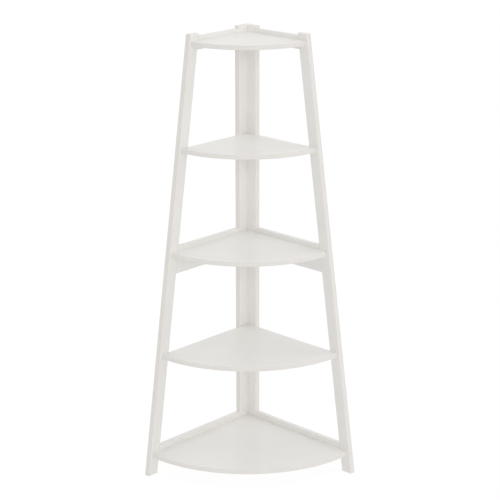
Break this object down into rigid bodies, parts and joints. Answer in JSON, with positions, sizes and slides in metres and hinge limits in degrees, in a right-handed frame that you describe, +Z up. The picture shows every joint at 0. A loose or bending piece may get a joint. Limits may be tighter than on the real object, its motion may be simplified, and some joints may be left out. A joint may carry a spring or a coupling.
{
  "type": "corner shelf unit",
  "caption": "Tapering corner shelf with quarter-round shelves between an L-shaped back post and two front legs that lean back; low rails edge some of the shelves.",
  "frame": {"origin": "middle of the unit's square footprint, on the floor", "axes": "+Z up; the left wall is at -X and the right wall at +Y, so the corner of the room is at -X +Y and the unit's open front faces +X -Y"},
  "size_m": [0.52, 0.52, 1.524],
  "materials": {
    "white_paint": "warm white satin paint over wood board, faint grain showing through",
    "beech_dowel": "bare beech",
    "zinc_screw": "bright zinc plate"
  },
  "bodies": {
    "root": {"back_post_left": "white_paint", "back_post_right": "white_paint", "bottom_rail_left": "white_paint", "bottom_rail_left_leg_dowel_lower": "beech_dowel", "bottom_rail_left_leg_dowel_upper": "beech_dowel", "bottom_rail_left_post_dowel_lower": "beech_dowel", "bottom_rail_left_post_dowel_upper": "beech_dowel", "bottom_rail_right": "white_paint", "bottom_rail_right_leg_dowel_lower": "beech_dowel", "bottom_rail_right_leg_dowel_upper": "beech_dowel", "bottom_rail_right_post_dowel_lower": "beech_dowel", "bottom_rail_right_post_dowel_upper": "beech_dowel", "bottom_shelf": "white_paint", "bottom_shelf_left_screw_back": "zinc_screw", "bottom_shelf_left_screw_front": "zinc_screw", "bottom_shelf_right_screw_back": "zinc_screw", "bottom_shelf_right_screw_front": "zinc_screw", "front_leg_left": "white_paint", "front_leg_right": "white_paint", "lower_shelf": "white_paint", "lower_shelf_left_leg_screw": "zinc_screw", "lower_shelf_post_screw": "zinc_screw", "lower_shelf_right_leg_screw": "zinc_screw", "middle_rail_left": "white_paint", "middle_rail_left_leg_dowel_lower": "beech_dowel", "middle_rail_left_leg_dowel_upper": "beech_dowel", "middle_rail_left_post_dowel_lower": "beech_dowel", "middle_rail_left_post_dowel_upper": "beech_dowel", "middle_rail_right": "white_paint", "middle_rail_right_leg_dowel_lower": "beech_dowel", "middle_rail_right_leg_dowel_upper": "beech_dowel", "middle_rail_right_post_dowel_lower": "beech_dowel", "middle_rail_right_post_dowel_upper": "beech_dowel", "middle_shelf": "white_paint", "middle_shelf_left_screw_back": "zinc_screw", "middle_shelf_left_screw_front": "zinc_screw", "middle_shelf_right_screw_back": "zinc_screw", "middle_shelf_right_screw_front": "zinc_screw", "post_corner_screw_lower": "zinc_screw", "post_corner_screw_middle": "zinc_screw", "post_corner_screw_upper": "zinc_screw", "top_rail_left": "white_paint", "top_rail_left_leg_dowel_lower": "beech_dowel", "top_rail_left_leg_dowel_upper": "beech_dowel", "top_rail_left_post_dowel_lower": "beech_dowel", "top_rail_left_post_dowel_upper": "beech_dowel", "top_rail_right": "white_paint", "top_rail_right_leg_dowel_lower": "beech_dowel", "top_rail_right_leg_dowel_upper": "beech_dowel", "top_rail_right_post_dowel_lower": "beech_dowel", "top_rail_right_post_dowel_upper": "beech_dowel", "top_shelf": "white_paint", "top_shelf_left_screw_back": "zinc_screw", "top_shelf_left_screw_front": "zinc_screw", "top_shelf_right_screw_back": "zinc_screw", "top_shelf_right_screw_front": "zinc_screw", "upper_shelf": "white_paint", "upper_shelf_left_leg_screw": "zinc_screw", "upper_shelf_post_screw": "zinc_screw", "upper_shelf_right_leg_screw": "zinc_screw"}
  },
  "joints": []
}
